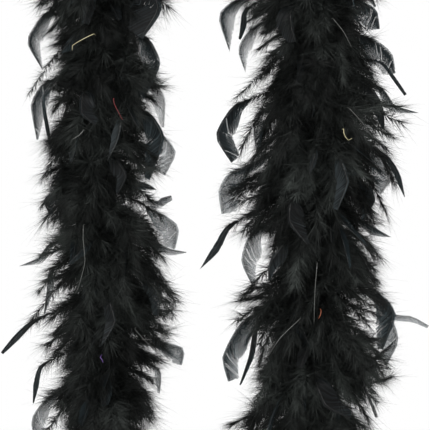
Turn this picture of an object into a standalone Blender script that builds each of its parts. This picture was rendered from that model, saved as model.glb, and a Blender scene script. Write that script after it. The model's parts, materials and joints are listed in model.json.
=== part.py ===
"""Feather boa hung over its middle.

Two cord plies are twisted together for the whole length of the boa and carry bunches of dyed
feathers, each bunch gripped by its quills in a bound collar. The crest of the bend is above the
origin, the two strands hang down on either side of X = 0, and each end closes in a knot with a loop.
Distances along the boa, called s, run from the crest: negative down the left strand (-X) and
positive down the right one (+X).
"""

import math
from collections import namedtuple

import bmesh
import bpy
from mathutils import Vector

# Driving dimensions, in metres
BOA_LENGTH = 1.83
BEND_RADIUS = 0.105
REST_PAD = 0.024  # crushed feathers between the support and the cord at the crest
BUNCH_SPACING = 0.058
BUNCHES_PER_SIDE = 15

# Core: two plies laid around each other, and the stitching thread in a slow spiral over them
PLY_RADIUS = 0.00135
PLY_OFFSET = 0.0018
PLY_PITCH = 0.120
PLY_POINTS_PER_TURN = 6
THREAD_RADIUS = 0.0003
THREAD_OFFSET = 0.0040
THREAD_PITCH = 0.180
THREAD_POINTS_PER_TURN = 12

# Feather bunches
COLLAR_INNER_RADIUS = 0.0048
COLLAR_OUTER_RADIUS = 0.0072
COLLAR_HEIGHT = 0.011
FEATHERS_PER_BUNCH = 8
VANE_SHOULDER = 0.62  # share of the reach at which a vane is widest
SHOULDER_WIDTH = 0.021
SHOULDER_THICKNESS = 0.0024
SHOULDER_DROOP = 0.40  # share of the droop that is reached at the shoulder
TIP_WIDTH = 0.009
TIP_THICKNESS = 0.0014
DROOP = 0.046  # how far a vane's tip lies below its quill on a hanging strand
SHORT_FEATHER = 0.90  # every other feather has this share of the full reach
BUNCH_TURN = math.radians(16.0)  # each bunch is turned this far on from the last

# Reach of a bunch's feathers from the cord, by the way they point
Reach = namedtuple("Reach", "inwards fore_aft outwards")
CREST_REACH = Reach(REST_PAD, 0.080, 0.084)
LEFT_REACH = Reach(0.055, 0.074, 0.088)
RIGHT_REACH = Reach(0.064, 0.084, 0.100)

# The cord flexes all along; each strand is divided midway after these bunches
DIVIDED_AFTER = (4, 8, 12)
DIVISION_GAP = 0.0026
STRAND_PARTS = ("upper", "middle", "lower")

# Ends: a stopper knot and a loop of the cord
KNOT_RADIUS = 0.0062
KNOT_HEIGHT = 0.010
KNOT_SEGMENTS = 10
KNOT_RINGS = 6
TOUCHING_GAP = 0.0004
LOOP_CORD_RADIUS = 0.0011
LOOP_LENGTH = 0.034
LOOP_WIDTH = 0.013
LOOP_POINTS = 20

ARC_HALF = BEND_RADIUS * math.pi / 2
ARC_CENTRE = Vector((0, 0, REST_PAD - BEND_RADIUS))
HALF_LENGTH = BOA_LENGTH / 2
CORD_END = HALF_LENGTH - KNOT_HEIGHT - TOUCHING_GAP
FORE_AFT = Vector((0, 1, 0))

# name: colour and roughness
MATERIALS = {
    "feather_black": ((0.012, 0.013, 0.014, 1.0), 0.62),
    "cord_black": ((0.020, 0.020, 0.021, 1.0), 0.80),
    "thread_black": ((0.030, 0.030, 0.031, 1.0), 0.55),
}

# A stretch of the boa that moves as one: its pivot empty, the pivot's place, and its ends in s
Stretch = namedtuple("Stretch", "name pivot place start end")


def clear_scene():
    for old in list(bpy.data.objects):
        bpy.data.objects.remove(old)


def make_material(name):
    colour, roughness = MATERIALS[name]
    material = bpy.data.materials.new(name)
    material.use_nodes = True
    shader = material.node_tree.nodes["Principled BSDF"]
    shader.inputs["Base Color"].default_value = colour
    shader.inputs["Roughness"].default_value = roughness
    shader.inputs["Metallic"].default_value = 0.0
    return material


def route(s):
    """The cord's centre at s, the direction away from the crest, and the outward direction."""
    side = -1.0 if s < 0 else 1.0
    past_bend = abs(s) - ARC_HALF
    angle = min(abs(s), ARC_HALF) / BEND_RADIUS
    outward = Vector((side * math.sin(angle), 0, math.cos(angle)))
    along = Vector((side * math.cos(angle), 0, -math.sin(angle)))
    centre = ARC_CENTRE + outward * BEND_RADIUS + along * max(past_bend, 0)
    return centre, along, outward


def make_stretch(name, inner, outer, parent=None):
    """An empty at the end nearer the crest, which is where this stretch flexes."""
    place = route(inner)[0]
    pivot = bpy.data.objects.new(name + "_pivot", None)
    bpy.context.collection.objects.link(pivot)
    pivot.location = place
    if parent:
        pivot.parent = parent.pivot
        pivot.location = place - parent.place
    return Stretch(name, pivot, place, min(inner, outer), max(inner, outer))


def make_stretches():
    """The neck over the support, and three hanging stretches on each side."""
    bounds = [(count + 0.5) * BUNCH_SPACING for count in DIVIDED_AFTER] + [CORD_END]
    pivot = bpy.data.objects.new("neck_pivot", None)
    bpy.context.collection.objects.link(pivot)
    neck = Stretch("neck", pivot, Vector((0, 0, 0)), -bounds[0], bounds[0])
    stretches = [neck]
    for side, sign in (("left", -1), ("right", 1)):
        parent = neck
        for part, inner, outer in zip(STRAND_PARTS, bounds, bounds[1:]):
            parent = make_stretch(f"{side}_{part}", sign * inner, sign * outer, parent)
            stretches.append(parent)
    return stretches


def add_object(name, data, material, stretch, centre):
    piece = bpy.data.objects.new(name, data)
    bpy.context.collection.objects.link(piece)
    data.materials.append(material)
    piece.parent = stretch.pivot
    piece.location = centre - stretch.place
    return piece


def tube(name, points, radius, bevel_resolution, material, stretch, closed=False):
    """A cord or thread through the points, a ring when closed."""
    centre = points[0]
    curve = bpy.data.curves.new(name, "CURVE")
    curve.dimensions = "3D"
    curve.bevel_depth = radius
    curve.bevel_resolution = bevel_resolution
    curve.use_fill_caps = not closed
    spline = curve.splines.new("POLY")
    spline.points.add(len(points) - 1)
    for spot, point in zip(spline.points, points):
        spot.co = (*(point - centre), 1.0)
    spline.use_cyclic_u = closed
    return add_object(name, curve, material, stretch, centre)


def spiral(start, end, offset, pitch, points_per_turn, phase):
    """Points of a strand laid around the cord's centre from start to end."""
    count = max(2, round((end - start) / pitch * points_per_turn))
    points = []
    for index in range(count + 1):
        s = start + (end - start) * index / count
        centre, _, outward = route(s)
        turn = 2 * math.pi * s / pitch + phase
        points.append(centre + (outward * math.cos(turn) + FORE_AFT * math.sin(turn)) * offset)
    return points


def add_core(stretch, materials):
    """Both plies and the stitching thread along one stretch."""
    ends = [stretch.start, stretch.end]
    for index, sign in enumerate((1, -1)):
        if abs(ends[index]) < CORD_END:
            ends[index] += sign * DIVISION_GAP / 2
    for ply, phase in (("a", 0.0), ("b", math.pi)):
        points = spiral(*ends, PLY_OFFSET, PLY_PITCH, PLY_POINTS_PER_TURN, phase)
        tube(f"core_ply_{ply}_{stretch.name}", points, PLY_RADIUS, 2, materials["cord_black"], stretch)
    points = spiral(*ends, THREAD_OFFSET, -THREAD_PITCH, -THREAD_POINTS_PER_TURN, math.pi / 2)
    tube(f"stitch_thread_{stretch.name}", points, THREAD_RADIUS, 1, materials["thread_black"], stretch)


def blend_reach(s):
    """The reach of a bunch at s, from the crest's to the strand's by the end of the bend."""
    strand = LEFT_REACH if s < 0 else RIGHT_REACH
    share = min(1.0, abs(s) / ARC_HALF) ** 2
    return Reach(*(near + (far - near) * share for near, far in zip(CREST_REACH, strand)))


def reach_towards(reach, cosine):
    """The reach in a direction whose cosine from outwards is given."""
    lean = (reach.outwards - reach.inwards) / 2
    bulge = (reach.outwards + reach.inwards) / 2 - reach.fore_aft
    return reach.fore_aft + lean * cosine + bulge * cosine * cosine


def grow_vane(bm, face, towards, across, along, reach, droop):
    """A feather from one side of the collar: out to its wide shoulder, then down to its tip."""
    stages = (
        (reach * VANE_SHOULDER, droop * SHOULDER_DROOP, SHOULDER_WIDTH, SHOULDER_THICKNESS),
        (reach, droop, TIP_WIDTH, TIP_THICKNESS),
    )
    before = (COLLAR_OUTER_RADIUS, 0.0)
    for out, down, width, thickness in stages:
        face = bmesh.ops.extrude_discrete_faces(bm, faces=[face])["faces"][0]
        slope = Vector((out - before[0], down - before[1])).normalized()
        facing = along * slope.x - towards * slope.y
        middle = towards * out + along * down
        corners = ((-1, 1), (1, 1), (1, -1), (-1, -1))
        for vertex, (side, lower) in zip(face.verts, corners):
            vertex.co = middle + across * (side * width / 2) + facing * (lower * thickness / 2)
        before = (out, down)


def bunch_mesh(name, s, turn):
    """A collar around the core with feathers growing from every side."""
    _, along, outward = route(s)
    reach = blend_reach(s)
    droop = DROOP * min(1.0, abs(s) / ARC_HALF)
    step = 2 * math.pi / FEATHERS_PER_BUNCH
    bm = bmesh.new()

    def direction(angle):
        return outward * math.cos(angle) + FORE_AFT * math.sin(angle)

    def ring(radius, lift):
        angles = [turn + step * (index - 0.5) for index in range(FEATHERS_PER_BUNCH)]
        return [bm.verts.new(direction(angle) * radius + along * lift) for angle in angles]

    half = COLLAR_HEIGHT / 2
    outer_low, outer_high = ring(COLLAR_OUTER_RADIUS, half), ring(COLLAR_OUTER_RADIUS, -half)
    inner_low, inner_high = ring(COLLAR_INNER_RADIUS, half), ring(COLLAR_INNER_RADIUS, -half)
    for index in range(FEATHERS_PER_BUNCH):
        after = (index + 1) % FEATHERS_PER_BUNCH
        for first, second in ((outer_high, inner_high), (inner_high, inner_low), (inner_low, outer_low)):
            bm.faces.new((first[index], first[after], second[after], second[index]))
        side = bm.faces.new(
            (outer_low[index], outer_low[after], outer_high[after], outer_high[index])
        )
        angle = turn + step * index
        towards = direction(angle)
        across = direction(angle + math.pi / 2)
        share = SHORT_FEATHER if index % 2 else 1.0
        length = share * reach_towards(reach, math.cos(angle))
        grow_vane(bm, side, towards, across, along, length, droop)
    bmesh.ops.recalc_face_normals(bm, faces=bm.faces)
    mesh = bpy.data.meshes.new(name)
    bm.to_mesh(mesh)
    bm.free()
    return mesh


def add_bunches(stretches, material):
    for index in range(-BUNCHES_PER_SIDE, BUNCHES_PER_SIDE + 1):
        s = index * BUNCH_SPACING
        name = "feather_bunch_crest"
        if index:
            name = f"feather_bunch_{'left' if index < 0 else 'right'}_{abs(index):02d}"
        stretch = next(each for each in stretches if each.start < s < each.end)
        mesh = bunch_mesh(name, s, index * BUNCH_TURN)
        add_object(name, mesh, material, stretch, route(s)[0])


def add_end(side, stretch, material):
    """The stopper knot, and the loop that hangs from it."""
    name = stretch.name.split("_")[0]
    bm = bmesh.new()
    bmesh.ops.create_uvsphere(bm, u_segments=KNOT_SEGMENTS, v_segments=KNOT_RINGS, radius=KNOT_RADIUS)
    flatten = KNOT_HEIGHT / (2 * KNOT_RADIUS)
    bmesh.ops.scale(bm, vec=Vector((1, 1, flatten)), verts=bm.verts)
    mesh = bpy.data.meshes.new("end_knot_" + name)
    bm.to_mesh(mesh)
    bm.free()
    mesh.shade_smooth()
    centre = route(side * (HALF_LENGTH - KNOT_HEIGHT / 2))[0]
    add_object("end_knot_" + name, mesh, material, stretch, centre)

    top, along, _ = route(side * (HALF_LENGTH + TOUCHING_GAP + LOOP_CORD_RADIUS))
    points = []
    for index in range(LOOP_POINTS):
        angle = 2 * math.pi * index / LOOP_POINTS
        down = along * (LOOP_LENGTH / 2 * (1 - math.cos(angle)))
        points.append(top + down + FORE_AFT * (LOOP_WIDTH / 2 * math.sin(angle)))
    tube("end_loop_" + name, points, LOOP_CORD_RADIUS, 2, material, stretch, closed=True)


def main():
    clear_scene()
    materials = {name: make_material(name) for name in MATERIALS}
    stretches = make_stretches()
    for stretch in stretches:
        add_core(stretch, materials)
    add_bunches(stretches, materials["feather_black"])
    for stretch in stretches:
        if stretch.name.endswith("lower"):
            side = -1 if stretch.name.startswith("left") else 1
            add_end(side, stretch, materials["cord_black"])


main()
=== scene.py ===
"""Looks of the hanging feather boa: every feather as shaft, vane barbs and down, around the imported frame."""

import json
import math
from collections import namedtuple

import bpy
import numpy as np
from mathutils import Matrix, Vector


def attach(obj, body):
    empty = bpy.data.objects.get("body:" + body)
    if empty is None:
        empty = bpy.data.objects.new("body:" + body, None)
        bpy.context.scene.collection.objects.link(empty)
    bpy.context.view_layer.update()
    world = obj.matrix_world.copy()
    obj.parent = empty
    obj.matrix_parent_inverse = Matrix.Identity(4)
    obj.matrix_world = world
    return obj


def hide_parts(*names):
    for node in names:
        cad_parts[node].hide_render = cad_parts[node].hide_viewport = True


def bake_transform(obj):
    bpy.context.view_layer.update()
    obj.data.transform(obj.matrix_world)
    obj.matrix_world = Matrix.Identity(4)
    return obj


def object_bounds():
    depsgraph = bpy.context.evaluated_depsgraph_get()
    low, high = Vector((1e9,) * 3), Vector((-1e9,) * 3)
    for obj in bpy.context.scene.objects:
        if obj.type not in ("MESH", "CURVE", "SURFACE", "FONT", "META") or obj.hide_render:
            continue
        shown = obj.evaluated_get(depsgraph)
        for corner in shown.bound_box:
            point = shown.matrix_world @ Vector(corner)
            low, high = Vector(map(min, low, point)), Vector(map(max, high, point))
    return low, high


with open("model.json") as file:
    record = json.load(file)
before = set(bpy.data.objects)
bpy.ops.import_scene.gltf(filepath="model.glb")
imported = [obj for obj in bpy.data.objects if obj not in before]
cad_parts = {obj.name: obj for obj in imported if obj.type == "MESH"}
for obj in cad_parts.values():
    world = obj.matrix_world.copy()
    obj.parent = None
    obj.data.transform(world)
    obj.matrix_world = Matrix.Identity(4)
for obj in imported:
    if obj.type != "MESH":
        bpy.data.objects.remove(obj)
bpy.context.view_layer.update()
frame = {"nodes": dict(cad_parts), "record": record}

# The cord's route, in metres, as the solids have it: a bend over the support and two hanging strands.
# Distances s run along the cord from the crest: negative down the left strand, positive down the right.
BOA_LENGTH = 1.83
BEND_RADIUS = 0.105
REST_PAD = 0.024
BUNCH_SPACING = 0.058
KNOT_HEIGHT = 0.010
ARC_HALF = BEND_RADIUS * math.pi / 2
ARC_CENTRE = np.array([0.0, 0.0, REST_PAD - BEND_RADIUS])
HALF_LENGTH = BOA_LENGTH / 2
CORD_END = HALF_LENGTH - KNOT_HEIGHT
FORE_AFT = np.array([0.0, 1.0, 0.0])
DOWN = np.array([0.0, 0.0, -1.0])

# Camera: a long lens straight at the middle of the hanging strands
VIEW_WIDTH = 0.43
VIEW_CENTRE = Vector((0.0065, 0.0, -0.44))
CAMERA_DISTANCE = 3.4
SENSOR = 36.0

# Stage: each softbox's name, place, diameter and power, and the floor some way below the boa
SOFTBOXES = (("left_softbox", (-1.6, -2.0, 0.9), 1.2, 110.0), ("right_softbox", (1.9, -1.8, 0.3), 1.0, 60.0))
LIGHT_AIM = Vector((0.0, 0.0, -0.4))
FLOOR_RADIUS = 2.2
FLOOR_SIDES = 96
FLOOR_DROP = 0.10

# Feather counts for each bunch
PLUMES_PER_BUNCH = {-1: 65, 0: 65, 1: 75}  # on the left strand, at the crest and on the right strand
PLUMES_PER_TUFT = 5
FLATS_PER_BUNCH = 9  # with its standouts counted among them
FEWEST_FLATS = 4  # beside its standouts
LINT_PER_BUNCH = 900
STRAYS = 3  # for each downy feather
SEED = 1105

# The least and the most of each length
PLUME_LENGTH = (0.045, 0.075)
PLUME_DOWN = (0.022, 0.032)
FLAT_LENGTH = (0.064, 0.096)
FLAT_DOWN = (0.018, 0.028)
FLAT_HALF_WIDTH = (0.0050, 0.0120)
STANDOUT_DOWN = (0.014, 0.020)
STRAY_LENGTH = (0.012, 0.022)
LINT_LENGTH = (0.016, 0.038)
RUFFLE = (0.00002, 0.00025)  # how far groups of a vane's barbs lift out of its plane

# Shares by which feathers are shorter, and how much more the last ones droop
FLATS_SHORTER = 0.12  # among standouts
CREST_SHORTER = 0.62  # under the bend, against the support
ENDS_SHORTER = 0.18
ENDS_DROOP = 1.3

# How deep the fluff is in front of the cord and behind it. Beyond its usual depth the tips lie over.
USUAL_DEPTH = 0.080
MOST_DEPTH = 0.101

# Shafts
SHAFT_STEPS = 19
LEG_STEPS = 16  # between two of the places a bent shaft goes through
BEND_SOFTNESS = 0.20  # of a bent shaft at its knees: 0.5 is a flowing curve, 0 a sharp kink
QUILL_RADIUS = 0.00042
QUILL_TIP_RADIUS = 0.00010

# Vanes: barbs lie edge to edge from the shaft to the outline
BARBS_PER_SIDE = 96
BARB_SLANT = 1.6  # along the shaft for each unit across it
BARB_RAGGED = 0.055  # how unequal the barbs' lengths are, as a share
NARROW_VANE = 0.005  # a standout narrower than this is nearly even on both sides
VANE_POINTS = 4

# Down: soft barbs on both sides of the shaft, each a few fine strands, in locks that lie together
DOWN_ROWS = 37
DOWN_CROWDING = 0.8  # below 1, the rows crowd towards the tip, where they show
DOWN_STRANDS = 6
DOWN_WIDTH = 0.00091  # at the shaft, closed there and fine at the fringe
DOWN_TAPER = (1.0, 0.50, 0.0)
DOWN_FROM = 0.08  # of the shaft
DOWN_OVERLAP = 0.04  # of the shaft, where down and vane meet
DOWN_DARKER = 0.6  # below a vane, as a share of the vane's tone
DOWN_LEAN = 0.84  # away from the shaft, in radians
DOWN_FRAY = 0.0046
DOWN_SAG = 0.0016
LOCK_BREAK = 0.62  # chance that a barb starts a new lock
LINT_WIDTH = 0.0013
LINT_SAG = 0.004
STRAY_WIDTH = 0.00018
STRAY_TAPER = (1.0, 0.9, 0.75, 0.5, 0.0)
STRAY_SAG = 0.003

# The two-ply cord, its stitching thread, the knots and the end loops
SIDES = (("left", -1), ("right", 1))  # with the sign of each side's distances
CORD_NODES = ("core_ply_a_", "core_ply_b_", "stitch_thread_")
CORD_DIAMETER = 0.0062
CORD_PITCH = 0.024  # along the cord for one turn of the plies
CORD_WAIST = 0.62  # of the radius, in the groove between the plies
CORD_STEP = 0.0016
CORD_SIDES = 20
THREAD_RADIUS = 0.00026
THREAD_SIDES = 5
THREAD_TONE = 0.5
THREAD_PITCH = 0.0065
THREAD_STEP = 0.0006
RING_STEPS = 120  # round the knot, and round the loop
KNOT_TURNS = 5  # of the plies, once round the knot
LOOP_TURNS = 9
KNOT_CORD_DIAMETER = 0.0048
KNOT_WIDTH = 0.00125  # scale of the overhand knot across the cord, and along it
KNOT_RISE = 0.0026
LOOP_CORD_DIAMETER = 0.0024
LOOP_LENGTH = 0.034
LOOP_WIDTH = 0.013
PATH_EVERY = 4  # of the cord's points, those that its path is given by
TUCK = 0.003  # how far the cord and the loop run into the knot

# Each moving stretch of a strand: its name, then the distances from the crest where its piece of cord
# begins, where its joint is and where the piece ends
STRETCHES = (
    ("upper", 0.0, 4.5 * BUNCH_SPACING, 6.5 * BUNCH_SPACING),
    ("middle", 6.5 * BUNCH_SPACING, 8.5 * BUNCH_SPACING, 10.5 * BUNCH_SPACING),
    ("lower", 10.5 * BUNCH_SPACING, 12.5 * BUNCH_SPACING, CORD_END),
)

# How far the tufts reach, as a share of a feather's length, by distance along the cord: outer side of the
# left strand, its inner side, inner side of the right strand and its outer side. Front and back are even.
EVEN_LEFT = 1.06
EVEN_RIGHT = 1.25
TUFTS = (
    ((0.16, 1.06), (0.31, 1.15), (0.345, 0.95), (0.40, 1.25), (0.435, 0.82), (0.48, 0.90),
     (0.52, 1.12), (0.60, 1.10), (0.63, 1.10), (0.652, 0.62), (0.69, 1.04), (0.74, 0.98), (0.80, 1.06)),
    ((0.16, 1.06), (0.31, 1.02), (0.36, 1.10), (0.405, 0.66), (0.44, 1.06), (0.475, 1.02), (0.495, 0.70),
     (0.525, 1.22), (0.56, 1.40), (0.60, 0.94), (0.65, 1.18), (0.70, 0.96), (0.80, 1.06)),
    ((0.16, 1.25), (0.30, 1.20), (0.33, 1.00), (0.345, 0.84), (0.37, 0.90), (0.405, 1.36), (0.425, 0.94),
     (0.445, 1.62), (0.47, 1.16), (0.505, 1.48), (0.53, 0.78), (0.57, 0.82), (0.60, 1.24), (0.64, 1.36),
     (0.69, 1.16), (0.80, 1.25)),
    ((0.16, 1.25), (0.31, 1.16), (0.37, 1.46), (0.45, 1.54), (0.475, 1.24), (0.54, 1.20),
     (0.60, 1.40), (0.63, 1.56), (0.655, 1.08), (0.70, 1.14), (0.735, 1.28), (0.80, 1.25)),
)

# Vaned feathers that stand out from the down. In millimetres: distance of its root along the cord
# (negative on the left strand), then how far across and how far below the root lie the vane's start, its
# widest place and its tip, how far forward (-) or back it hangs, and the width of its wide side (negative
# if that is away from the cord). As shares: how square its tip is, how closed it is at the shaft and at its
# outline, and how light it is.
STANDOUTS = np.array((
    (-290, -58, 34, -74.5, 61, -60, 90, -10, 14, 0, 0.97, 0.55, 0.4),
    (-365, -58, 28, -70, 49, -66, 84, -12, 15, 0.1, 0.95, 0.62, 0.5),
    (-365, -59, 39, -57, 69, -52, 96, 4, 2.4, 0, 1, 0.95, 0.3),
    (-275, 47, 24, 55, 46, 38, 74, -45, 28, 0.6, 0.98, 0.93, 0.35),
    (-325, 44, 24, 55, 49, 40, 83, -20, 17, 0.5, 0.98, 0.82, 0.5),
    (-360, 52, 34, 60, 49, 60, 76, 10, 12, 0.2, 0.66, 0.5, 0.6),
    (-395, 46, 29, 59, 52, 46, 94, -22, 17, 0.3, 0.99, 0.93, 0.6),
    (-410, 57, 34, 70, 52, 60, 74, 12, 17, 0.5, 0.78, 0.62, 0.8),
    (-470, 24, 22, 42, 25, 54, 29, -30, 4.5, 0, 1, 0.9, 0.3),
    (-465, 50, 46, 58, 43, 68, 40, -5, 8, 0.6, 0.92, 0.8, 0.5),
    (-490, 57, 34, 73, 47, 70, 68, 5, 18, 0.6, 0.8, 0.62, 0.8),
    (-520, 56, 34, 69, 39, 83, 41, -6, 6.5, 0.1, 0.88, 0.62, 0.5),
    (-550, 46, 27, 57, 51, 54, 74, -15, 15, 0.3, 0.9, 0.76, 0.7),
    (-540, -52, 12, -64, 27, -84, 35, -6, 6.5, 0, 0.95, 0.62, 0.5),
    (-475, -44, 24, -58, 34, -53, 49, -12, 12, 0.3, 1, 0.9, 0.3),
    (-625, 61, 27, 79, 34, 77, 49, 0, 15, 0.6, 0.86, 0.66, 0.7),
    (-650, 54, 27, 57, 39, 56, 52, -5, 6, 0.4, 0.8, 0.6, 0.7),
    (-600, -68, 29, -87, 46, -101.5, 62, -4, 3.6, 0.5, 1, 0.95, 0.2),
    (-640, -61, 34, -67, 51, -70, 72, -4, 3.2, 0.2, 1, 0.95, 0.3),
    (-545, -53, 34, -56, 54, -60, 78, 4, 6.5, 0.2, 0.88, 0.7, 0.6),
    (-675, -57, 34, -70, 54, -66, 84, -10, 14, 0.2, 0.84, 0.58, 0.6),
    (-385, -18, 19, -19, 39, -6, 50, -62, 15, 0.4, 1, 0.95, 0.3),
    (-410, 19, 22, 15, 42, 6, 61, -66, 7, 0, 0.98, 0.92, 0.85),
    (-445, 14, 24, 24, 40, 16, 58, -60, 12, 0.2, 1, 0.95, 0.3),
    (-585, 8, 24, 13, 44, 1, 66, -64, 10, 0.1, 1, 0.92, 0.4),
    (275, -80, 37, -93, 51, -84, 86, -8, 15, 0, 0.96, 0.52, 0.5),
    (280, -67, 39, -70, 54, -74, 69, -14, 3.6, 0.4, 1, 0.95, 0.3),
    (305, -62, 33, -74, 54, -68, 76, 6, 12, 0, 0.86, 0.48, 0.6),
    (385, -77, 29, -96, 60, -81, 86, -6, 16, 0.6, 1, 0.9, 0.32),
    (400, -55, 21, -59, 39, -56, 66, 12, 9, 0.2, 0.74, 0.52, 0.7),
    (430, -51, 37, -68, 47, -84, 54, -10, 7.5, 0, 0.96, 0.72, 0.5),
    (450, -80, 31, -92, 51, -90, 73, 4, 22, 0.6, 0.8, 0.58, 0.8),
    (490, -83, 44, -96.5, 66, -113.5, 88, -8, 4.2, 0, 1, 0.95, 0.3),
    (505, -61, 37, -70, 66, -60, 91, 0, 17, 0.1, 0.84, 0.64, 0.7),
    (515, -32, 39, -44, 56, -46, 73, -55, 11, 0.2, 1, 0.95, 0.45),
    (595, -68, 34, -89, 71, -84, 95, -6, 17, 0.6, 0.94, 0.78, 0.6),
    (600, -57, 34, -64, 64, -74, 93, -16, 5, 0.3, 1, 0.92, 0.3),
    (280, 42, 31, 60, 41, 64, 59, -16, 19, 0.6, 0.98, 0.86, 0.4),
    (325, 57, 24, 76, 40, 80, 58, -8, 22, 0.5, 0.98, 0.64, 0.5),
    (360, 66, 11, 80, 27, 92, 44, -4, 2.2, 0.8, 1, 0.95, 0.3),
    (370, 67, 27, 80, 45, 105, 52, -6, 7.5, 0, 0.94, 0.74, 0.5),
    (360, 56, 37, 68, 59, 70, 78, -14, 12, 0.2, 1, 0.94, 0.3),
    (430, 66, 32, 78, 53, 67, 73, 8, 24, 0.3, 0.76, 0.5, 0.8),
    (430, 70, 34, 83, 52, 91, 76, -4, 3.6, 0.1, 1, 0.95, 0.3),
    (500, 51, 31, 65, 40, 77, 46, -10, 8, 0, 0.98, 0.76, 0.5),
    (460, 52, 34, 59, 49, 49, 70, -20, 13, 0.2, 1, 0.92, 0.45),
    (575, 69, 32, 79, 49, 68, 83, -12, 18, 0.3, 0.98, 0.88, 0.55),
    (600, 76, 29, 83, 51, 73, 74, 6, 15, 0.4, 0.8, 0.64, 0.7),
    (585, 76, 38, 98.5, 41, 115.5, 50, 4, 6, 0.5, 0.74, 0.64, 0.8),
    (440, 25, 31, 31, 52, 21, 79, -70, 11, 0.4, 1, 0.96, 0.75),
    (485, -24, 26, -25, 46, -8, 68, -72, 15, 0.2, 1, 0.96, 0.2),
    (435, 0, 27, -3, 38, -6, 50, -68, 3.5, 0, 1, 0.95, 0.5),
    (655, 1, 34, 11, 56, 34, 68, -66, -15, 0.4, 1, 0.95, 0.15),
    (290, -24, 34, -24, 48, -20, 64, -66, -15, 0.5, 1, 0.95, 0.28),
)) / ([1000] * 9 + [1] * 4)

# Downy feathers that stand out, in millimetres: distance along the cord, how far across and below the
# root its tip lies, how far forward (-), and the down's length
LOOSE_TUFTS = np.array((
    (-335, -74, 68, -10, 12),
    (-545, -64, 56, -12, 18),
    (-570, -76, 66, -4, 18),
    (-415, -60, 72, -15, 20),
    (-610, 60, 44, -10, 18),
    (-690, -58, 52, -10, 20),
    (360, -76, 46, -10, 14),
    (400, -52, 68, -12, 18),
    (480, -70, 60, -10, 20),
    (555, -72, 52, -10, 20),
    (400, 80, 48, -8, 14),
    (545, 62, 48, -10, 20),
    (660, 60, 40, -10, 20),
)) / 1000

# Stripped shafts, bare quills and loose fibres caught in the fluff, in millimetres: kind, distance along
# the cord, depth, radius, tone (a share), then how far across and below the root each of its points lies
CAUGHT = (
    ("bare_quill", -345, -78, 0.32, 0.8, ((-7, 2), (-17.4, 7), (-27.6, 13), (-28, 18))),
    ("bare_quill", 435, -82, 0.34, 1.0, ((27, 5), (27.5, 11), (31.9, 16), (35.3, 14))),
    ("red_fibre", -405, -80, 0.22, 0.5, ((12.4, 5), (13.3, 11), (21.2, 26))),
    ("orange_fibre", 615, -84, 0.28, 0.5, ((5, 2), (4.6, 6), (2.5, 10))),
    ("violet_fibre", -660, -80, 0.5, 0.5, ((-0.5, 3), (1.1, 5), (2.2, 8))),
    ("grey_shaft", -530, -78, 0.22, 0.8, ((-17, 4), (-17.4, 17), (-15.5, 40), (-21.7, 64), (-25.4, 71))),
    ("grey_shaft", -435, -80, 0.36, 1.0, ((-17, 6), (-19.7, 10), (-27.6, 15))),
    ("grey_shaft", -630, -74, 0.24, 0.6, ((33.4, 6), (47, 21), (62, 34))),
    ("grey_shaft", 325, -82, 0.22, 0.8, ((16.4, 7), (27, 20), (34.7, 35))),
    ("grey_shaft", 410, -78, 0.22, 0.8, ((31.9, 9), (45, 23), (55.7, 39))),
    ("grey_shaft", 565, -86, 0.24, 0.8, ((1.1, 6), (-1, 32), (-2, 65))),
    ("grey_shaft", 615, -78, 0.24, 0.7, ((-15.1, 10), (-34, 28), (-49.4, 50))),
)

CAUGHT_SIDES = 6

# Cord, horn and dyed fibre: material, dark and light tone, roughness and how fine the grain is
FIBRES = {
    "cord": ("cord_black", (0.004, 0.004, 0.004), (0.028, 0.028, 0.027), 0.82, 900.0),
    "thread": ("thread_black", (0.006, 0.006, 0.006), (0.030, 0.030, 0.030), 0.45, 1500.0),
    "bare_quill": ("quill_bare", (0.14, 0.125, 0.07), (0.32, 0.29, 0.17), 0.38, 300.0),
    "grey_shaft": ("shaft_grey", (0.016, 0.017, 0.016), (0.060, 0.063, 0.058), 0.35, 300.0),
    "red_fibre": ("fibre_red", (0.07, 0.004, 0.005), (0.20, 0.012, 0.016), 0.60, 900.0),
    "orange_fibre": ("fibre_orange", (0.14, 0.03, 0.012), (0.34, 0.09, 0.03), 0.60, 900.0),
    "violet_fibre": ("fibre_violet", (0.03, 0.012, 0.07), (0.08, 0.03, 0.17), 0.60, 900.0),
}
ROUGHNESS_SPREAD = 0.08

Shafts = namedtuple("Shafts", "points heading across facing length")


def unit(vectors):
    return vectors / np.maximum(np.linalg.norm(vectors, axis=-1, keepdims=True), 1e-9)


def square_to(heading, vectors):
    """The part of these vectors that is square to the heading, at unit length."""
    return unit(vectors - heading * np.sum(vectors * heading, -1, keepdims=True))


def smooth(t):
    return t * t * (3 - 2 * t)


def route(s):
    """Centres, directions away from the crest and outward directions at distances s."""
    s = np.asarray(s, float)
    side = np.where(s < 0, -1.0, 1.0)
    angle = np.minimum(np.abs(s), ARC_HALF) / BEND_RADIUS
    past_bend = np.maximum(np.abs(s) - ARC_HALF, 0.0)
    level = np.zeros_like(angle)
    outward = np.stack([side * np.sin(angle), level, np.cos(angle)], -1)
    along = np.stack([side * np.cos(angle), level, -np.sin(angle)], -1)
    centre = ARC_CENTRE + outward * BEND_RADIUS + along * past_bend[..., None]
    return centre, along, outward


# ---- meshes from arrays


def place_object(name, data):
    placed = bpy.data.objects.new(name, data)
    bpy.context.collection.objects.link(placed)
    return placed


def lie_over(points):
    """Tips that reach beyond the fluff's usual depth lie over instead of standing out."""
    depth = np.abs(points[:, 1])
    beyond = np.maximum(depth - USUAL_DEPTH, 0.0)
    spare = MOST_DEPTH - USUAL_DEPTH
    held = np.minimum(depth, USUAL_DEPTH) + spare * (1 - np.exp(-beyond / spare))
    points[:, 1] = np.sign(points[:, 1]) * held
    return points


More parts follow.
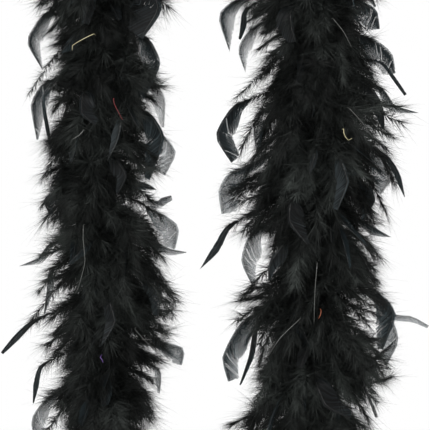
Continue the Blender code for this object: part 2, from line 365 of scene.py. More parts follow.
class Builder:
    """Gathers strips, wisps and tubes into one mesh. Sizes holds how many corners each face has."""

    def __init__(self):
        self.points, self.faces, self.sizes, self.shade, self.slots = [], [], [], [], []
        self.count = 0

    def add(self, points, faces, sizes, shade, slot=0):
        self.points.append(points)
        self.faces.append(faces.ravel() + self.count)
        self.sizes.append(sizes)
        self.shade.append(shade)
        self.slots.append(np.full(len(sizes), slot))
        self.count += len(points)

    def more_faces(self, corners, start, slot=0):
        """Faces (faces, corners) on points already there, the first of them at start."""
        self.faces.append(corners.ravel() + start)
        self.sizes.append(np.full(len(corners), corners.shape[1]))
        self.slots.append(np.full(len(corners), slot))

    def strips(self, left, right, shade):
        """Flat strips between two edges, each (strips, points, 3), with tones (strips, points)."""
        count, steps, _ = left.shape
        points = np.stack([left, right], 2).reshape(-1, 3)
        base = (np.arange(count) * 2 * steps)[:, None, None]
        rung = (np.arange(steps - 1) * 2)[None, :, None]
        faces = base + rung + np.array([0, 1, 3, 2])
        self.add(points, faces, np.full(count * (steps - 1), 4), np.repeat(shade.ravel(), 2))

    def wisps(self, centre, aside, shade):
        """Strips that taper to a point: centre lines (wisps, points, 3) and half-width vectors."""
        count, steps, _ = centre.shape
        body = np.stack([centre - aside, centre + aside], 2)[:, :-1].reshape(count, -1, 3)
        points = np.concatenate([body, centre[:, -1:]], 1)
        each = points.shape[1]
        base = (np.arange(count) * each)[:, None, None]
        rung = (np.arange(steps - 2) * 2)[None, :, None]
        quads = base + rung + np.array([0, 1, 3, 2])
        ends = base[:, 0] + np.array([each - 3, each - 2, each - 1])
        start = self.count
        self.add(points.reshape(-1, 3), quads, np.full(count * (steps - 2), 4), np.repeat(shade, each))
        self.more_faces(ends, start)

    def tubes(self, centre, first, second, radius, shade, sides=3, slot=0):
        """Tubes round centre lines (tubes, points, 3), with two cross directions. The radii and tones
        broadcast to (tubes, points, sides)."""
        count, steps, _ = centre.shape
        angle = 2 * np.pi * np.arange(sides) / sides
        ring = first[:, :, None] * np.cos(angle)[:, None] + second[:, :, None] * np.sin(angle)[:, None]
        points = (centre[:, :, None] + ring * radius[..., None]).reshape(-1, 3)
        base = (np.arange(count) * steps * sides)[:, None, None, None]
        rung = (np.arange(steps - 1) * sides)[None, :, None, None]
        corner = np.arange(sides)
        after = (corner + 1) % sides
        quad = np.stack([corner, after, after + sides, corner + sides], -1)
        faces = base + rung + quad
        tone = np.broadcast_to(shade, (count, steps, sides)).ravel()
        start = self.count
        self.add(points, faces, np.full(count * (steps - 1) * sides, 4), tone, slot)
        self.more_faces(base[:, 0, 0] + corner[::-1], start, slot)
        self.more_faces(base[:, 0, 0] + (steps - 1) * sides + corner, start, slot)

    def finish(self, name, materials):
        fields = (self.points, self.faces, self.sizes, self.shade, self.slots)
        points, faces, sizes, shade, slots = (np.concatenate(field) for field in fields)
        mesh = bpy.data.meshes.new(name)
        mesh.vertices.add(len(points))
        mesh.vertices.foreach_set("co", lie_over(points).astype(np.float32).ravel())
        mesh.loops.add(len(faces))
        mesh.loops.foreach_set("vertex_index", faces.astype(np.int32))
        mesh.polygons.add(len(sizes))
        starts = np.concatenate([[0], np.cumsum(sizes)[:-1]]).astype(np.int32)
        mesh.polygons.foreach_set("loop_start", starts)
        mesh.polygons.foreach_set("material_index", slots.astype(np.int32))
        mesh.polygons.foreach_set("use_smooth", np.ones(len(sizes), bool))
        tone = mesh.attributes.new("shade", "FLOAT", "POINT")
        tone.data.foreach_set("value", shade.astype(np.float32))
        for material in materials:
            mesh.materials.append(material)
        mesh.update(calc_edges=True)
        return place_object(name, mesh)


# ---- feathers


def grow_shafts(root, start, end, facing, length, twist, bend_at):
    """Shafts that leave along start and turn towards end, with the vane's facing carried along."""
    t = np.linspace(0.0, 1.0, SHAFT_STEPS)
    turn = smooth(np.clip(t[None, :] / np.maximum(bend_at[:, None], 0.05), 0, 1))[..., None]
    heading = unit(start[:, None] * (1 - turn) + end[:, None] * turn)
    step = (heading[:, 1:] + heading[:, :-1]) / 2 * (length[:, None, None] / (SHAFT_STEPS - 1))
    path = np.cumsum(step, 1)
    points = root[:, None] + np.concatenate([np.zeros_like(path[:, :1]), path], 1)
    flat = square_to(heading, facing[:, None])
    across = np.cross(heading, flat)
    spin = (twist[:, None] * t[None, :])[..., None]
    turned = across * np.cos(spin) + flat * np.sin(spin)
    return Shafts(points, heading, turned, flat * np.cos(spin) - across * np.sin(spin), length)


def bent_shafts(waypoints, facing):
    """Shafts through given points (shafts, points, 3), spaced evenly along their length, and the share of
    the length at which each passes its first bend."""
    held = np.concatenate([waypoints[:, :1], waypoints, waypoints[:, -1:]], 1)
    t = np.linspace(0, 1, LEG_STEPS, endpoint=False)[None, :, None]
    legs = []
    for leg in range(waypoints.shape[1] - 1):
        a, b, c, d = (held[:, leg + i, None] for i in range(4))
        leave, arrive = (c - a) * BEND_SOFTNESS, (d - b) * BEND_SOFTNESS
        legs.append(b + (c - b) * smooth(t) + leave * t * (1 - t) ** 2 - arrive * t ** 2 * (1 - t))
    dense = np.concatenate([*legs, waypoints[:, -1:]], 1)
    run = np.cumsum(np.linalg.norm(np.diff(dense, axis=1), axis=-1), 1)
    run = np.concatenate([np.zeros((len(dense), 1)), run], 1)
    length = run[:, -1]
    even = np.linspace(0, 1, SHAFT_STEPS)
    points = np.stack([
        np.stack([np.interp(even * total, along, line[:, axis]) for axis in range(3)], -1)
        for line, along, total in zip(dense, run, length)
    ])
    heading = unit(np.gradient(points, axis=1))
    flat = square_to(heading, facing[:, None])
    knees = run[:, LEG_STEPS] / length
    return Shafts(points, heading, np.cross(heading, flat), flat, length), knees


def along_shaft(shafts, who, u):
    """Point, heading, across and facing at share u of each shaft; past an end it goes straight on."""
    held = np.clip(u, 0.0, 1.0)
    place = held * (SHAFT_STEPS - 1)
    low = np.minimum(place.astype(int), SHAFT_STEPS - 2)
    share = (place - low)[..., None]

    def at(field):
        return field[who, low] * (1 - share) + field[who, low + 1] * share

    heading = at(shafts.heading)
    point = at(shafts.points) + heading * ((u - held) * shafts.length[who])[..., None]
    return point, heading, at(shafts.across), at(shafts.facing)


def outline_width(q, widest, base, tip):
    """Share of the full half-width at q along a vane: up to a corner at widest, then down to the tip."""
    rise = base + (1 - base) * np.sin(np.clip(q / widest, 0, 1) * np.pi / 2) ** 0.8
    fall = 1 - (1 - tip) * np.clip((q - widest) / (1 - widest), 0, 1) ** 1.15
    return np.where(q < widest, rise, fall)


def vane_edge(shafts, who, q, side, shape):
    """One edge of each barb, from the shaft out to the vane's outline. q may change along the barb."""
    cut = 1.0 + shape["tip_cut"] * 0.35
    held = np.minimum(q * cut, 1.0)
    past = np.clip((q * cut - 1.0) / np.maximum(cut - 1.0, 1e-6), 0, 1)
    width = outline_width(held, shape["widest"], shape["base"], shape["tip_cut"]) * (1 - past)
    out = width * shape["half_width"]
    end_u = shape["vane_from"] + (1 - shape["vane_from"]) * held
    root_u = np.maximum(end_u - out * BARB_SLANT / shafts.length[who], shape["vane_from"] - 0.12)
    g = np.linspace(0, 1, VANE_POINTS) * shape["reach"]
    u = root_u + (end_u - root_u) * g ** 1.25
    across_by = out * g
    point, _, across, facing = along_shaft(shafts, np.broadcast_to(who, u.shape), u)
    lift = shape["camber"] * across_by ** 2 / shape["half_width"] + shape["lift"] * g ** 2
    return point + across * (side * across_by)[..., None] + facing * lift[..., None]


def add_vanes(builder, rng, shafts, style, shade):
    """Both sides of every vane, barb by barb: closed near the shaft, opening towards the outline."""
    count = len(shade)
    size = (count, BARBS_PER_SIDE)
    who = np.arange(count)[:, None, None]
    ladder = (np.arange(BARBS_PER_SIDE) + 0.5) / BARBS_PER_SIDE
    g = np.linspace(0, 1, VANE_POINTS)
    for side in (-1.0, 1.0):
        half_width = style["half_width"] * np.where(side > 0, style["balance"], 1.0)
        group = np.cumsum(rng.random(size) < 0.035, axis=1)
        lift = np.take_along_axis(rng.normal(0, 1, (count, BARBS_PER_SIDE + 1)), group, 1)
        lift = lift * style["ruffle"][:, None] + rng.normal(0, 0.00005, size)
        fill = style["fill"][:, None] + (style["fill_far"] - style["fill"])[:, None] * g ** 1.5
        fill = fill[:, None] * np.where(rng.random(size) < style["split"][:, None], 0.6, 1.0)[..., None]
        kept = ("tip_cut", "widest", "base", "vane_from", "camber")
        shape = {key: style[key][:, None, None] for key in kept}
        shape["half_width"] = half_width[:, None, None]
        shape["reach"] = 1 - np.abs(rng.normal(0, BARB_RAGGED, size))[..., None]
        shape["lift"] = lift[..., None]
        edges = []
        for edge in (-0.5, 0.5):
            q = np.clip(ladder[None, :, None] + edge * fill / BARBS_PER_SIDE, 0, 1)
            edges.append(vane_edge(shafts, who, q, side, shape).reshape(-1, VANE_POINTS, 3))
        tone = (shade[:, None] + rng.normal(0, 0.23, size))[..., None] * (0.50 + 0.80 * g)
        builder.strips(*edges, tone)


def add_quills(builder, shafts, thickness, shade):
    taper = np.linspace(1, 0, SHAFT_STEPS) ** 0.8
    radius = QUILL_TIP_RADIUS + (QUILL_RADIUS - QUILL_TIP_RADIUS) * taper
    radius = radius[None, :, None] * thickness[:, None, None]
    builder.tubes(shafts.points, shafts.across, shafts.facing, radius, shade[:, None, None])


def add_down(builder, rng, shafts, down_to, longest, shade):
    """Soft barbs on both sides of each shaft, swept towards its tip, in locks that lie together."""
    count = len(shade)
    size = (count, 2, DOWN_ROWS)
    who = np.broadcast_to(np.arange(count)[:, None, None], size)
    ladder = ((np.arange(DOWN_ROWS) + rng.random(size)) / DOWN_ROWS) ** DOWN_CROWDING
    u = DOWN_FROM + (down_to - DOWN_FROM)[:, None, None] * ladder
    point, heading, across, facing = along_shaft(shafts, who, u)
    lock = np.cumsum(rng.random(size) < LOCK_BREAK, axis=2)

    def shared(spread):
        return np.take_along_axis(rng.normal(0, spread, (count, 2, DOWN_ROWS + 1)), lock, 2)

    lift = (shared(0.42) + rng.normal(0, 0.45, size))[..., None]
    lean = (DOWN_LEAN + shared(0.20) + rng.normal(0, 0.24, size) - 0.30 * ladder)[..., None]
    side = np.array([-1.0, 1.0])[None, :, None, None]
    out = across * (side * np.cos(lift)) + facing * np.sin(lift)
    leave = heading * np.cos(lean) + out * np.sin(lean)
    sweep = heading * np.cos(lean * 0.72) + out * np.sin(lean * 0.72)
    profile = 1.0 - 0.18 * np.clip(u, 0, 1) ** 2
    reach = longest[:, None, None] * profile * (1 + shared(0.12)) * rng.uniform(0.82, 1.08, size)

    each = (*size, DOWN_STRANDS)
    share = 0.46 + 0.74 * rng.random(each) ** 1.25
    fray = rng.normal(0, 1, (*each, 3)) * (DOWN_FRAY * share)[..., None]
    t = np.linspace(0, 1, len(DOWN_TAPER))[:, None]
    span = (reach[..., None] * share)[..., None, None]
    leave, sweep = leave[..., None, None, :], sweep[..., None, None, :]
    centre = point[..., None, None, :] + span * (leave * (t - t ** 2 / 2) + sweep * (t ** 2 / 2))
    centre = centre + fray[..., None, :] * t ** 1.5 + DOWN * (t ** 2) * DOWN_SAG
    centre = centre.reshape(-1, len(DOWN_TAPER), 3)
    wide = unit(np.cross(centre[:, -1] - centre[:, 0], rng.normal(0, 1, (len(centre), 3))))
    taper = (DOWN_WIDTH / 2) * np.array(DOWN_TAPER)
    thick = ((1.60 - 1.0 * share) * (1.2 - 0.6 * ladder[..., None])).reshape(-1, 1, 1)
    aside = wide[:, None] * taper[None, :, None] * thick
    tone = shade[:, None, None] + shared(0.16) + rng.normal(0, 0.05, size)
    tone = np.repeat(tone.ravel(), DOWN_STRANDS) + rng.normal(0, 0.15, len(centre))
    builder.wisps(centre, aside, tone)


def lone_barbs(rng, root, aim, reach, curl, width, taper):
    """Centre lines and half-widths of single barbs that leave along aim and bend by their curl."""
    t = np.linspace(0, 1, len(taper))[None, :, None]
    centre = root[:, None] + (aim * reach)[:, None] * t + curl[:, None] * t ** 2
    wide = unit(np.cross(aim, rng.normal(0, 1, (len(aim), 3))))
    return centre, wide[:, None] * ((width / 2) * np.array(taper))[None, :, None]


def radial_frame(s, azimuth):
    """Root on the cord, outwards at this azimuth about the cord, away from the crest, and around."""
    centre, along, outward = route(s)
    radial = outward * np.cos(azimuth)[:, None] + FORE_AFT * np.sin(azimuth)[:, None]
    return centre, radial, along, np.cross(along, radial)


def fullness(s, azimuth):
    """How far the feathers reach at s, as a share. Tufts stand out further in some places than others."""
    across = np.where(s < 0, np.cos(azimuth), -np.cos(azimuth))  # towards the left strand's outer side
    outer_left, inner_left, inner_right, outer_right = (
        np.interp(np.abs(s), *np.transpose(tufts)) for tufts in TUFTS
    )
    left = np.where(across > 0, outer_left, inner_left)
    right = np.where(across > 0, inner_right, outer_right)
    around = np.abs(across) ** 0.7
    reach = np.where(
        s < 0, EVEN_LEFT + (left - EVEN_LEFT) * around, EVEN_RIGHT + (right - EVEN_RIGHT) * around)
    crushed = np.clip(-np.cos(azimuth), 0, 1) * (1 - hang(s) ** 2)
    return reach * (1 - CREST_SHORTER * crushed)


def hang(s):
    """How strongly gravity sets the feathers' tips away from the crest: a little there, fully on a strand."""
    return np.clip(0.10 + np.abs(s) / ARC_HALF, 0, 1)


def ending(s):
    """0 along the boa, rising to 1 over the last bunch, whose feathers close over the end of the cord."""
    return np.clip((np.abs(s) - CORD_END) / BUNCH_SPACING + 1, 0, 1)


def scatter(rng, low, high, count):
    """Roots spread evenly along a stretch of cord and around it."""
    s = low + (high - low) * (np.arange(count) + rng.random(count)) / count
    azimuth = rng.permutation(count) / count * 2 * np.pi + rng.normal(0, 0.35, count)
    return s, azimuth


def add_strays(builder, rng, shafts, shade):
    """A few long fine barbs that have come loose from each feather's outline."""
    who = np.repeat(np.arange(len(shade)), STRAYS)
    count = len(who)
    point, heading, across, facing = along_shaft(shafts, who, rng.uniform(0.35, 1.0, count))
    aim = unit(heading * rng.uniform(0.2, 1.2, (count, 1)) + across * rng.normal(0, 0.8, (count, 1))
               + facing * rng.normal(0, 0.6, (count, 1)))
    curl = rng.normal(0, 0.008, (count, 3)) + DOWN * STRAY_SAG
    reach = rng.uniform(*STRAY_LENGTH, (count, 1))
    barbs = lone_barbs(rng, point, aim, reach, curl, STRAY_WIDTH, STRAY_TAPER)
    builder.wisps(*barbs, shade[who])


def grow_lint(builder, rng, low, high, count):
    """Loose down packed round the cord between the quills."""
    s = rng.uniform(low, high, count)
    azimuth = rng.uniform(0, 2 * np.pi, count)
    root, radial, along, around = radial_frame(s, azimuth)
    aim = unit(radial + along * rng.normal(0.2, 0.75, (count, 1)) + around * rng.normal(0, 0.6, (count, 1)))
    reach = rng.uniform(*LINT_LENGTH, (count, 1)) * fullness(s, azimuth)[:, None]
    curl = rng.normal(0, 0.004, (count, 3)) + DOWN * LINT_SAG
    barbs = lone_barbs(rng, root, aim, reach, curl, LINT_WIDTH, DOWN_TAPER)
    # The loose down's low tone is painted shade for the deep hollows round the cord.
    builder.wisps(*barbs, rng.normal(0.15, 0.12, count))


def leaving(rng, radial, along, around, lean, fall):
    """The directions in which shafts leave the cord, leaning away from the crest where they hang."""
    count = len(radial)
    lean = along * rng.normal(lean, 0.25, (count, 1)) * fall
    return unit(radial + lean + around * rng.normal(0, 0.3, (count, 1)))


def grow_plumes(parts, rng, low, high, count):
    """Downy feathers, soft to their tips, in tufts whose feathers lie together."""
    tufts = count // PLUMES_PER_TUFT
    tuft_s, tuft_azimuth = scatter(rng, low, high, tufts)
    tuft = np.arange(count) % tufts
    s = np.clip(tuft_s[tuft] + rng.normal(0, 0.005, count), low, high)
    azimuth = tuft_azimuth[tuft] + rng.normal(0, 0.26, count)
    root, radial, along, around = radial_frame(s, azimuth)
    fall = hang(s)[:, None]
    start = leaving(rng, radial, along, around, 0.10, fall)
    drop = rng.normal(1.05, 0.55, tufts)[tuft, None] + rng.normal(0, 0.30, (count, 1))
    drop = drop + ENDS_DROOP * ending(s)[:, None]
    turn = rng.normal(0, 0.40, tufts)[tuft, None] + rng.normal(0, 0.20, (count, 1))
    end = unit(radial + along * drop * fall + DOWN * (0.40 - 0.15 * fall) + around * turn)
    facing = unit(np.cross(around, radial) + rng.normal(0, 0.5, (count, 3)))
    length = rng.uniform(*PLUME_LENGTH, tufts)[tuft] * rng.uniform(0.74, 1.08, count) * fullness(s, azimuth)
    length *= 1 - ENDS_SHORTER * ending(s)
    twist, bend_at = rng.normal(0, 0.6, count), rng.uniform(0.6, 1.3, count)
    shafts = grow_shafts(root, start, end, facing, length, twist, bend_at)
    shade = np.clip(rng.normal(0.36, 0.20, tufts)[tuft] + rng.normal(0, 0.14, count), 0, 1)
    add_down(parts["down"], rng, shafts, np.ones(count), rng.uniform(*PLUME_DOWN, count), shade)
    add_strays(parts["down"], rng, shafts, shade)
    add_quills(parts["quills"], shafts, rng.uniform(0.6, 1.0, count), shade)


def grow_flats(parts, rng, s, azimuth, among_standouts):
    """Feathers with a flat vane beyond their down. Among standouts, which have the sides, they are shorter
    and lie in front and behind."""
    count = len(s)
    shortened = FLATS_SHORTER if among_standouts else 0.0
    if among_standouts:
        azimuth = np.sign(np.sin(azimuth)) * (np.pi / 4 + np.arccos(np.cos(azimuth)) / 2)
    root, radial, along, around = radial_frame(s, azimuth)
    fall = hang(s)[:, None]
    start = leaving(rng, radial, along, around, 0.35, fall)
    drop = np.abs(rng.normal(2.0, 1.2, (count, 1)))
    turn = rng.normal(0, 0.9, (count, 1))
    end = unit(radial + along * drop * fall + DOWN * (1.4 - 0.9 * fall) + around * turn)
    facing = unit(radial + rng.normal(0, 0.75, (count, 3)))
    length = rng.uniform(*FLAT_LENGTH, count) * fullness(s, azimuth) * (1 - shortened)
    twist, bend_at = rng.normal(0, 0.9, count), rng.uniform(0.55, 1.0, count)
    shafts = grow_shafts(root, start, end, facing, length, twist, bend_at)
    shade = np.clip(rng.normal(0.28, 0.18, count), 0, 1)
    fill = rng.uniform(0.94, 1.06, count)
    style = {
        "half_width": rng.uniform(*FLAT_HALF_WIDTH, count),
        "balance": rng.uniform(0.10, 0.7, count),
        "tip_cut": rng.choice([0.0, 0.25, 0.45, 0.6], count),
        "widest": rng.uniform(0.40, 0.75, count),
        "base": rng.uniform(0.15, 0.45, count),
        "vane_from": rng.uniform(0.40, 0.60, count),
        "camber": rng.normal(0.12, 0.30, count),
        "ruffle": rng.uniform(*RUFFLE, count),
        "fill": fill,
        "fill_far": fill * rng.uniform(0.62, 0.92, count),
        "split": rng.uniform(0.0, 0.02, count),
    }
    add_vanes(parts["vanes"], rng, shafts, style, shade)
    add_quills(parts["quills"], shafts, rng.uniform(0.9, 1.3, count), shade)
    down_to = style["vane_from"] + DOWN_OVERLAP
    add_down(parts["down"], rng, shafts, down_to, rng.uniform(*FLAT_DOWN, count), shade * DOWN_DARKER)


def grow_standouts(parts, rng, chosen):
    """The feathers of STANDOUTS, each through its own points."""
    s, *places, depth, wide, tip_cut, closed, closed_far, shade = chosen.T
    count = len(s)
    root = route(s)[0]
    points = [root]
    for across, drop in zip(places[::2], places[1::2]):
        points.append(root + np.stack([across, depth, -drop], -1))
    tip_across = places[4]
    facing = FORE_AFT * np.sign(tip_across * wide)[:, None]
    facing = unit(facing + rng.normal(0, 0.18, facing.shape))
    shafts, knees = bent_shafts(np.stack(points, 1), facing)
    narrow = np.abs(wide) < NARROW_VANE
    style = {
        "half_width": np.abs(wide),
        "balance": np.where(narrow, 0.8, 0.16),
        "tip_cut": tip_cut,
        "widest": np.where(narrow, 0.62, 0.48),
        "base": np.full(count, 0.35),
        "vane_from": knees - 0.05,
        "camber": rng.normal(0.05, 0.12, count),
        "ruffle": rng.uniform(*RUFFLE, count),
        "fill": closed * 1.06,
        "fill_far": np.where(closed_far > 0.9, 1.05, closed_far),
        "split": np.where(closed_far > 0.9, 0.0, 0.03),
    }
    add_vanes(parts["vanes"], rng, shafts, style, shade)
    add_quills(parts["quills"], shafts, np.full(count, 1.1), shade)
    add_down(parts["down"], rng, shafts, knees, rng.uniform(*STANDOUT_DOWN, count), shade * DOWN_DARKER)


def grow_tufts(parts, rng, chosen):
    """The downy feathers of LOOSE_TUFTS, each bent once on its way to its tip."""
    s, across, drop, depth, down = chosen.T
    count = len(s)
    root = route(s)[0]
    tip = root + np.stack([across, depth, -drop], -1)
    middle = root + (tip - root) * np.array([0.62, 0.8, 0.42])
    facing = unit(rng.normal(0, 0.3, (count, 3)) - FORE_AFT)
    shafts, _ = bent_shafts(np.stack([root, middle, tip], 1), facing)
    shade = rng.normal(0.35, 0.1, count)
    add_down(parts["down"], rng, shafts, np.ones(count), down, shade)
    add_strays(parts["down"], rng, shafts, shade)
    add_quills(parts["quills"], shafts, np.full(count, 0.8), shade)


def in_bunch(rows, place):
    """The rows of a table whose distance along the cord falls in this bunch."""
    return rows[np.round(rows[:, 0] / BUNCH_SPACING) == place]


# ---- cord, knots, loops and caught fibres


def lay_cord(builder, centre, first, second, run, diameter, pitch):
    """A two-ply cord along a line, its plies twisting with the run, with painted shade darkening the groove
    between them.
    """
    angle = 2 * np.pi * np.arange(CORD_SIDES) / CORD_SIDES
    ply = np.abs(np.cos(angle[None, :] - 2 * np.pi * run[:, None] / pitch))
    section = diameter / 2 * np.maximum(ply, CORD_WAIST)
    fibre = 0.12 * np.sin(9 * angle[None, :] + 26 * np.pi * run[:, None] / pitch)
    # painted shade: the tone falls into the groove between the plies; the fibre term is the cord's grain
    tone = 0.15 + 0.55 * ply + fibre
    builder.tubes(centre[None], first[None], second[None], section[None], tone[None], CORD_SIDES)


def lay_thread(builder, start, end):
    """The stitching thread, wound over the cord against its twist."""
    s = np.linspace(start, end, round(abs(end - start) / THREAD_STEP) + 1)
    centre, _, outward = route(s)
    turn = (2 * np.pi * s / THREAD_PITCH)[:, None]
    radial = outward * np.cos(turn) + FORE_AFT * np.sin(turn)
    line = centre + radial * CORD_DIAMETER / 2
    heading = unit(np.gradient(line, axis=0))
    radius = np.full((1, len(s), 1), THREAD_RADIUS)
    aside = np.cross(heading, radial)
    builder.tubes(line[None], radial[None], aside[None], radius, THREAD_TONE, THREAD_SIDES, slot=1)


def bend_at_joint(piece):
    """Bakes the piece's placement into its mesh."""
    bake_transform(piece)


def make_cords(materials):
    """The core cord in pieces that each cross one joint, each meeting the next where it ends."""
    used = [materials["cord"], materials["thread"]]
    for side_name, side in SIDES:
        for stretch, start, joint, end in STRETCHES:
            below = side_name + "_" + stretch
            last = end == CORD_END
            far = end + TUCK if last else end
            s = side * np.linspace(start, far, round((far - start) / CORD_STEP) + 1)
            centre, _, outward = route(s)
            builder = Builder()
            aside = np.broadcast_to(-side * FORE_AFT, outward.shape)
            lay_cord(builder, centre, outward, aside, np.abs(s), CORD_DIAMETER, CORD_PITCH)
            lay_thread(builder, side * start, side * end)
            piece = builder.finish("core_cord_" + below, used)
            bend_at_joint(piece)
            stood_for = (below, "neck") if stretch == "upper" and side < 0 else (below,)
            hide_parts(*(kind + body for body in stood_for for kind in CORD_NODES))
            path = centre[::PATH_EVERY]
            if (len(centre) - 1) % PATH_EVERY:
                path = np.concatenate([path, centre[-1:]])


def make_ring(name, points, diameter, turns, material):
    """A closed ring of cord through points, its plies twisting a whole number of turns."""
    heading = unit(np.roll(points, -1, 0) - np.roll(points, 1, 0))
    first = square_to(heading, points - points.mean(0))
    run = np.linspace(0, turns, len(points) + 1)
    builder = Builder()
    closed = [np.concatenate([field, field[:1]]) for field in (points, first, np.cross(heading, first))]
    lay_cord(builder, *closed, run, diameter, 1.0)
    return builder.finish(name, [material])


def make_ends(material):
    """The overhand knot that stops the cord at each end, and the loop tied through it."""
    t = np.linspace(0, 2 * np.pi, RING_STEPS, endpoint=False)
    made = {}
    for side_name, side in SIDES:
        middle = route(side * (HALF_LENGTH - KNOT_HEIGHT / 2))[0]
        knot = np.stack([
            KNOT_WIDTH * (np.sin(t) + 2 * np.sin(2 * t)),
            KNOT_WIDTH * (np.cos(t) - 2 * np.cos(2 * t)),
            -KNOT_RISE * np.sin(3 * t),
        ], -1)
        top = route(side * (HALF_LENGTH - TUCK))[0]
        loop = np.stack([
            np.zeros_like(t),
            LOOP_WIDTH / 2 * np.sin(t) * np.sin(t / 2) ** 0.6,
            -(LOOP_LENGTH + TUCK) / 2 * (1 - np.cos(t)),
        ], -1)
        made[side_name] = []
        for node, look, line, diameter, turns in (
            ("end_knot_" + side_name, "_tied", middle + knot, KNOT_CORD_DIAMETER, KNOT_TURNS),
            ("end_loop_" + side_name, "_twisted", top + loop, LOOP_CORD_DIAMETER, LOOP_TURNS),
        ):
            piece = make_ring(node + look, line, diameter, turns, material)
            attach(piece, side_name + "_lower")
            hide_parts(node)
            made[side_name].append(piece)
    return made


def make_caught(materials):
    """Stripped shafts, bare quills and loose fibres, gathered into one piece of each kind on each body."""
    gathered = {}
    for kind, *numbers, tone, points in CAUGHT:
        s, depth, radius = (millimetres / 1000 for millimetres in numbers)
        place = round(s / BUNCH_SPACING)
        body = body_of_node("feather_bunch_{}_{:02d}".format("left" if s < 0 else "right", abs(place)))
        builder = gathered.setdefault((kind, body), Builder())
        waypoints = [(across / 1000, depth, -drop / 1000) for across, drop in points]
        across, _, up = waypoints[0]
        waypoints.insert(0, (across, 0.3 * depth, up + 0.001))  # its hidden end
        waypoints = route(s)[0] + np.array(waypoints)
        shafts, _ = bent_shafts(waypoints[None], -FORE_AFT[None])
        taper = radius * np.sin(np.linspace(0.4, 2.6, SHAFT_STEPS))[None, :, None]
        builder.tubes(shafts.points, shafts.across, shafts.facing, taper, tone, CAUGHT_SIDES)
    for (kind, body), builder in gathered.items():
        piece = builder.finish(kind + "_" + body, [materials[kind]])
        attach(piece, body)


# ---- materials


def new_material(name):
    material = bpy.data.materials.new(name)
    material.use_nodes = True
    tree = material.node_tree
    return material, tree, tree.nodes["Principled BSDF"]


def feed(tree, node, inputs):
    """Sets a node's inputs, each to a value or from another node's output."""
    for key, value in inputs.items():
        if isinstance(value, bpy.types.NodeSocket):
            tree.links.new(value, node.inputs[key])
        else:
            node.inputs[key].default_value = value
    return node


def new_node(tree, kind, inputs):
    return feed(tree, tree.nodes.new("ShaderNode" + kind), inputs)


def ramp_node(tree, factor, colours, low=0.0, high=1.0):
    """Colours spaced evenly between two values of the factor."""
    node = new_node(tree, "ValToRGB", {"Fac": factor})
    ramp = node.color_ramp
    while len(ramp.elements) < len(colours):
        ramp.elements.new(0.5)
    for place, (element, colour) in enumerate(zip(ramp.elements, colours)):
        element.position = low + (high - low) * place / (len(colours) - 1)
        element.color = (*colour, 1.0)
    return node.outputs["Color"]


def object_noise(tree, inputs):
    """A soft noise over the surface."""
    place = tree.nodes.new("ShaderNodeTexCoord").outputs["Object"]
    return new_node(tree, "TexNoise", {"Vector": place, **inputs}).outputs["Fac"]


def dyed_material(name, grain, variation, colours, roughness, specular=0.5):
    """Each barb has its own tone among these colours, shifted by a grain that also varies the roughness.
    Returns the material, its node tree and shader, the tone and the grain."""
    material, tree, shader = new_material(name)
    tone = tree.nodes.new("ShaderNodeAttribute")
    tone.attribute_name = "shade"
    noise = object_noise(tree, {"Scale": grain, "Detail": 3.0})
    shift = new_node(tree, "Math", {0: noise, 1: variation, 2: -variation / 2})
    shift.operation = "MULTIPLY_ADD"
    total = new_node(tree, "Math", {0: tone.outputs["Fac"], 1: shift.outputs["Value"]})
    total.operation = "ADD"
    total.use_clamp = True
    factor = total.outputs["Value"]
    least, most = roughness
    spread = new_node(tree, "MapRange", {"Value": noise, "To Min": least, "To Max": most})
    feed(tree, shader, {
        "Base Color": ramp_node(tree, factor, colours),
        "Roughness": spread.outputs["Result"],
        "Specular IOR Level": specular,
    })
    return material, tree, shader, factor, noise


def down_material():
    colours = ((0.0020, 0.0023, 0.0021), (0.0108, 0.0124, 0.0115), (0.0340, 0.0390, 0.0360))
    return dyed_material("down_black", 60.0, 0.5, colours, (0.50, 0.75), 0.12)[0]


def vane_material():
    """Dyed vane: dark where light falls on it, blue-grey where light comes through from behind."""
    colours = ((0.0012, 0.0014, 0.0015), (0.0036, 0.0045, 0.0049), (0.0160, 0.0200, 0.0215))
    material, tree, shader, factor, _ = dyed_material("vane_black", 90.0, 0.4, colours, (0.45, 0.65), 0.13)
    colours = ((0.005, 0.008, 0.0095), (0.033, 0.049, 0.056), (0.112, 0.158, 0.178))
    through = new_node(tree, "BsdfTranslucent", {"Color": ramp_node(tree, factor, colours)})
    mix = new_node(tree, "MixShader", {"Fac": 0.5, 1: shader.outputs["BSDF"], 2: through.outputs["BSDF"]})
    feed(tree, tree.nodes["Material Output"], {"Surface": mix.outputs["Shader"]})
    return material


def quill_material():
    colours = ((0.003, 0.003, 0.003), (0.030, 0.031, 0.029))
    return dyed_material("quill_black", 30.0, 0.6, colours, (0.22, 0.40))[0]


def fibre_material(name, dark, light, roughness, grain):
    """Spun fibre or horn: its tone along the grain between two colours, with a fine bump."""
    spread = (roughness - ROUGHNESS_SPREAD, roughness + ROUGHNESS_SPREAD)
    material, tree, shader, _, noise = dyed_material(name, grain, 0.5, (dark, light), spread)
    bump = new_node(tree, "Bump", {"Strength": 0.4, "Distance": 0.0003, "Height": noise})
    feed(tree, shader, {"Normal": bump.outputs["Normal"]})
    return material


def floor_material():
    material, tree, shader = new_material("pale_floor")
    colours = ((0.80, 0.80, 0.79), (0.84, 0.84, 0.83))
    colour = ramp_node(tree, object_noise(tree, {"Scale": 3.0}), colours, 0.3, 0.7)
    feed(tree, shader, {"Base Color": colour, "Roughness": 0.85})
    return material


# ---- the boa


def bunch_nodes():
    """Each feather bunch's node with its place in the row: 0 at the crest, negative on the left."""
    for name in sorted(frame["nodes"]):
        if name == "feather_bunch_crest":
            yield name, 0
        elif name.startswith("feather_bunch_"):
            side, number = name.rsplit("_", 2)[1:]
            yield name, int(number) * (-1 if side == "left" else 1)


def body_of_node(name):
    bodies = frame["record"]["behaviour"]["bodies"]
    return next(body for body, nodes in bodies.items() if name in nodes)


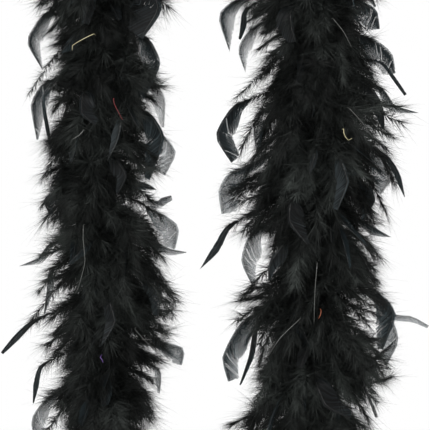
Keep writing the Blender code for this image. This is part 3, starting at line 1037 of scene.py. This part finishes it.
def hang_bunch(piece, place, body):
    """The bunches on either side of a joint have their placement baked into their mesh, and the others ride on
    their body.
    """
    side, distance = int(np.sign(place)), abs(place) * BUNCH_SPACING
    for stretch, _, joint, _ in STRETCHES:
        if side and abs(distance - joint) < BUNCH_SPACING:
            bend_at_joint(piece)
            return
    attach(piece, body)


def make_bunches(materials):
    for node, place in bunch_nodes():
        rng = np.random.default_rng(SEED + place)
        low, high = (place - 0.5) * BUNCH_SPACING, (place + 0.5) * BUNCH_SPACING
        parts = {kind: Builder() for kind in ("down", "vanes", "quills")}
        grow_lint(parts["down"], rng, low, high, LINT_PER_BUNCH)
        standouts, tufts = in_bunch(STANDOUTS, place), in_bunch(LOOSE_TUFTS, place)
        flats = max(FLATS_PER_BUNCH - len(standouts), FEWEST_FLATS)
        grow_plumes(parts, rng, low, high, PLUMES_PER_BUNCH[int(np.sign(place))] + FEWEST_FLATS - flats)
        grow_flats(parts, rng, *scatter(rng, low, high, flats), len(standouts) > 0)
        if len(standouts):
            grow_standouts(parts, rng, standouts)
        if len(tufts):
            grow_tufts(parts, rng, tufts)
        for kind, builder in parts.items():
            piece = builder.finish(node.replace("feather_bunch", kind), [materials[kind]])
            hang_bunch(piece, place, body_of_node(node))
            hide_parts(node)


# ---- stage


def make_floor():
    mesh = bpy.data.meshes.new("floor")
    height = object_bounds()[0][2] - FLOOR_DROP
    angles = (2 * math.pi * index / FLOOR_SIDES for index in range(FLOOR_SIDES))
    ring = [(FLOOR_RADIUS * math.cos(a), FLOOR_RADIUS * math.sin(a), height) for a in angles]
    mesh.from_pydata(ring, [], [tuple(range(FLOOR_SIDES))])
    mesh.materials.append(floor_material())
    place_object("floor", mesh)


def make_softbox(name, location, size, watts):
    data = bpy.data.lights.new(name, "AREA")
    data.shape = "DISK"
    data.size = size
    data.energy = watts
    light = place_object(name, data)
    light.location = location
    light.rotation_euler = (LIGHT_AIM - Vector(location)).to_track_quat("-Z", "Y").to_euler()


def make_world():
    world = bpy.data.worlds.new("white_studio")
    bpy.context.scene.world = world
    world.use_nodes = True
    tree = world.node_tree
    feed(tree, tree.nodes["Background"], {"Color": (1.0, 1.0, 1.0, 1.0), "Strength": 1.0})


def make_camera():
    data = bpy.data.cameras.new("camera")
    data.sensor_width = SENSOR
    data.lens = SENSOR * CAMERA_DISTANCE / VIEW_WIDTH
    camera = place_object("camera", data)
    camera.location = VIEW_CENTRE + Vector((0, -CAMERA_DISTANCE, 0))
    camera.rotation_euler = (math.pi / 2, 0, 0)
    bpy.context.scene.camera = camera


def main():
    make_camera()
    make_world()
    for softbox in SOFTBOXES:
        make_softbox(*softbox)
    make_floor()
    materials = {"down": down_material(), "vanes": vane_material(), "quills": quill_material()}
    materials.update((kind, fibre_material(*look)) for kind, look in FIBRES.items())
    ends = make_ends(materials["cord"])
    make_cords(materials)
    make_bunches(materials)
    make_caught(materials)
    bpy.context.scene.view_settings.view_transform = "Standard"


main()
